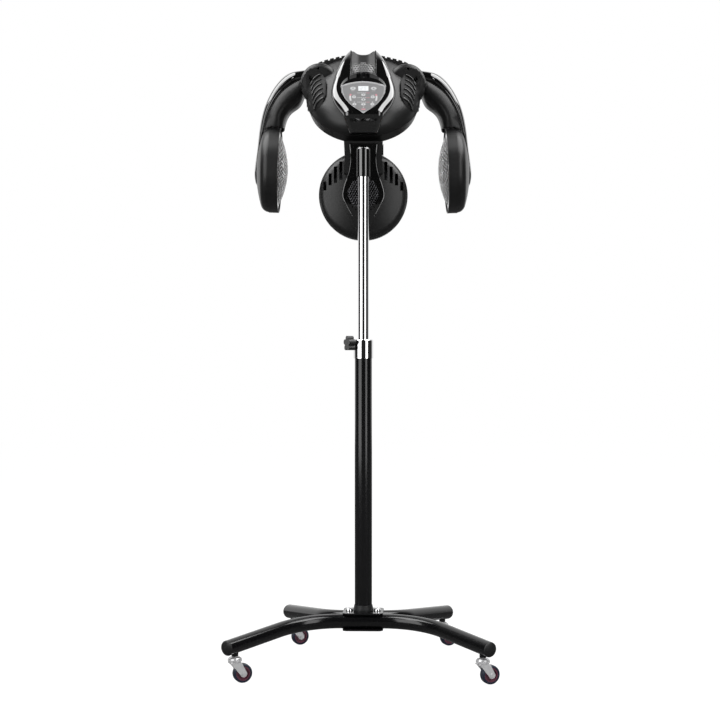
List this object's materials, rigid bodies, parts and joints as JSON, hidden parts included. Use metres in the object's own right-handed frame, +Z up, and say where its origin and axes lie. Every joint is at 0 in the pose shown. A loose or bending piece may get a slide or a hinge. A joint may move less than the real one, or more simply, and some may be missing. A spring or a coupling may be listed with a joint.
{
  "type": "hair color processor",
  "caption": "Free-standing infrared hair colour processor: domed crown lamp, rear lamp and two swinging side lamps on a telescopic mast over a wheeled base.",
  "frame": {"origin": "on the floor, under the mast's axis", "axes": "+Z up along the mast, +X to the operator's right, +Y from the control panel towards the client's head"},
  "size_m": [0.6525, 0.6236, 1.5638],
  "materials": {
    "black_paint": "gloss black stoving enamel",
    "cap_plastic": "black moulded plastic",
    "knob_plastic": "black moulded knob plastic, satin",
    "chrome": "polished chrome plate",
    "zinc_steel": "bright zinc plated steel",
    "steel": "turned steel",
    "tyre": "blue-black caster tyre",
    "wheel_hub": "maroon plastic hub",
    "matte_black": "fine textured black plastic",
    "gloss_black": "high gloss black plastic",
    "bezel": "bright silver rim",
    "panel_grey": "silver-grey printed panel",
    "display": "white lit display under a clear window",
    "key_cap": "pale grey key cap",
    "circuit_board": "green circuit board",
    "reflector": "bright spun aluminium",
    "quartz": "red-tinted quartz heater tube",
    "guard_mesh": "bright perforated metal"
  },
  "bodies": {
    "base": {"front_leg_tube": "black_paint", "rear_leg_tube": "black_paint", "leg_end_caps": "cap_plastic", "hub_plates": "black_paint", "hub_bolts": "chrome", "caster_sockets": "black_paint", "mast_outer_tube": "black_paint", "mast_foot_collar": "cap_plastic", "clamp_collar": "chrome", "mast_guide_bush": "cap_plastic"},
    "clamp_knob": {"clamp_knob": "knob_plastic"},
    "mast_rod": {"mast_inner_tube": "chrome"},
    "head": {"head_socket": "gloss_black", "crown_shell": "matte_black", "arm_pivot_pins": "steel", "rear_arm_shell": "matte_black", "rear_arm_cover": "gloss_black", "rear_lamp_housing": "matte_black", "power_inlet": "cap_plastic", "head_reflectors": "reflector", "head_heaters": "quartz", "head_guards": "guard_mesh", "console_frame": "gloss_black", "panel_bezel": "bezel", "keypad_plate": "panel_grey", "display_window": "display", "control_board": "circuit_board"},
    "left_arm": {"left_arm_shell": "matte_black", "left_arm_cover": "gloss_black", "left_lamp_housing": "matte_black", "left_reflector": "reflector", "left_heater": "quartz", "left_guard": "guard_mesh"},
    "right_arm": {"right_arm_shell": "matte_black", "right_arm_cover": "gloss_black", "right_lamp_housing": "matte_black", "right_reflector": "reflector", "right_heater": "quartz", "right_guard": "guard_mesh"},
    "front_left_fork": {"front_left_caster_fork": "zinc_steel"},
    "front_left_wheel": {"front_left_caster_tyre": "tyre", "front_left_caster_hub": "wheel_hub"},
    "front_right_fork": {"front_right_caster_fork": "zinc_steel"},
    "front_right_wheel": {"front_right_caster_tyre": "tyre", "front_right_caster_hub": "wheel_hub"},
    "rear_left_fork": {"rear_left_caster_fork": "zinc_steel"},
    "rear_left_wheel": {"rear_left_caster_tyre": "tyre", "rear_left_caster_hub": "wheel_hub"},
    "rear_right_fork": {"rear_right_caster_fork": "zinc_steel"},
    "rear_right_wheel": {"rear_right_caster_tyre": "tyre", "rear_right_caster_hub": "wheel_hub"},
    "key_top_left": {"key_top_left": "key_cap"},
    "key_top_right": {"key_top_right": "key_cap"},
    "key_centre_upper": {"key_centre_upper": "key_cap"},
    "key_centre_middle": {"key_centre_middle": "key_cap"},
    "key_centre_lower": {"key_centre_lower": "key_cap"},
    "key_left_upper": {"key_left_upper": "key_cap"},
    "key_right_upper": {"key_right_upper": "key_cap"},
    "key_left_lower": {"key_left_lower": "key_cap"},
    "key_right_lower": {"key_right_lower": "key_cap"}
  },
  "joints": [
    {"name": "mast_height", "type": "slide", "parent": "base", "child": "mast_rod", "axis": [0, 0, 1], "range_m": [-0.24, 0.1]},
    {"name": "head_turn", "type": "hinge", "parent": "mast_rod", "child": "head", "pos_m": [0, 0, 1.25], "axis": [0, 0, 1], "continuous": true},
    {"name": "clamp_knob_turn", "type": "hinge", "parent": "base", "child": "clamp_knob", "pos_m": [0, 0, 0.8], "axis": [-0.9063, -0.4226, 0], "continuous": true},
    {"name": "right_arm_swing", "type": "hinge", "parent": "head", "child": "right_arm", "pos_m": [0.12, 0.245, 1.495], "axis": [0, -1, 0], "range_deg": [-3, 15]},
    {"name": "left_arm_swing", "type": "hinge", "parent": "head", "child": "left_arm", "pos_m": [-0.12, 0.245, 1.495], "axis": [0, 1, 0], "range_deg": [-3, 15]},
    {"name": "front_left_swivel", "type": "hinge", "parent": "base", "child": "front_left_fork", "pos_m": [-0.30231, -0.20095, 0.08], "axis": [0, 0, 1], "continuous": true},
    {"name": "front_left_roll", "type": "hinge", "parent": "front_left_fork", "child": "front_left_wheel", "pos_m": [-0.2854, -0.19479, 0.0225], "axis": [-0.342, 0.9397, 0], "continuous": true},
    {"name": "front_right_swivel", "type": "hinge", "parent": "base", "child": "front_right_fork", "pos_m": [0.27884, -0.23242, 0.08], "axis": [0, 0, 1], "continuous": true},
    {"name": "front_right_roll", "type": "hinge", "parent": "front_right_fork", "child": "front_right_wheel", "pos_m": [0.29575, -0.22626, 0.0225], "axis": [-0.342, 0.9397, 0], "continuous": true},
    {"name": "rear_left_swivel", "type": "hinge", "parent": "base", "child": "rear_left_fork", "pos_m": [-0.18543, 0.23738, 0.08], "axis": [0, 0, 1], "continuous": true},
    {"name": "rear_left_roll", "type": "hinge", "parent": "rear_left_fork", "child": "rear_left_wheel", "pos_m": [-0.16852, 0.24353, 0.0225], "axis": [-0.342, 0.9397, 0], "continuous": true},
    {"name": "rear_right_swivel", "type": "hinge", "parent": "base", "child": "rear_right_fork", "pos_m": [0.20999, 0.21596, 0.08], "axis": [0, 0, 1], "continuous": true},
    {"name": "rear_right_roll", "type": "hinge", "parent": "rear_right_fork", "child": "rear_right_wheel", "pos_m": [0.2269, 0.22212, 0.0225], "axis": [-0.342, 0.9397, 0], "continuous": true},
    {"name": "key_top_left_press", "type": "slide", "parent": "head", "child": "key_top_left", "axis": [0, 0.766, -0.6428], "range_m": [0, 0.0008], "stiffness_N_per_m": 900},
    {"name": "key_top_right_press", "type": "slide", "parent": "head", "child": "key_top_right", "axis": [0, 0.766, -0.6428], "range_m": [0, 0.0008], "stiffness_N_per_m": 900},
    {"name": "key_centre_upper_press", "type": "slide", "parent": "head", "child": "key_centre_upper", "axis": [0, 0.766, -0.6428], "range_m": [0, 0.0008], "stiffness_N_per_m": 900},
    {"name": "key_centre_middle_press", "type": "slide", "parent": "head", "child": "key_centre_middle", "axis": [0, 0.766, -0.6428], "range_m": [0, 0.0008], "stiffness_N_per_m": 900},
    {"name": "key_centre_lower_press", "type": "slide", "parent": "head", "child": "key_centre_lower", "axis": [0, 0.766, -0.6428], "range_m": [0, 0.0008], "stiffness_N_per_m": 900},
    {"name": "key_left_upper_press", "type": "slide", "parent": "head", "child": "key_left_upper", "axis": [0, 0.766, -0.6428], "range_m": [0, 0.0008], "stiffness_N_per_m": 900},
    {"name": "key_right_upper_press", "type": "slide", "parent": "head", "child": "key_right_upper", "axis": [0, 0.766, -0.6428], "range_m": [0, 0.0008], "stiffness_N_per_m": 900},
    {"name": "key_left_lower_press", "type": "slide", "parent": "head", "child": "key_left_lower", "axis": [0, 0.766, -0.6428], "range_m": [0, 0.0008], "stiffness_N_per_m": 900},
    {"name": "key_right_lower_press", "type": "slide", "parent": "head", "child": "key_right_lower", "axis": [0, 0.766, -0.6428], "range_m": [0, 0.0008], "stiffness_N_per_m": 900}
  ]
}
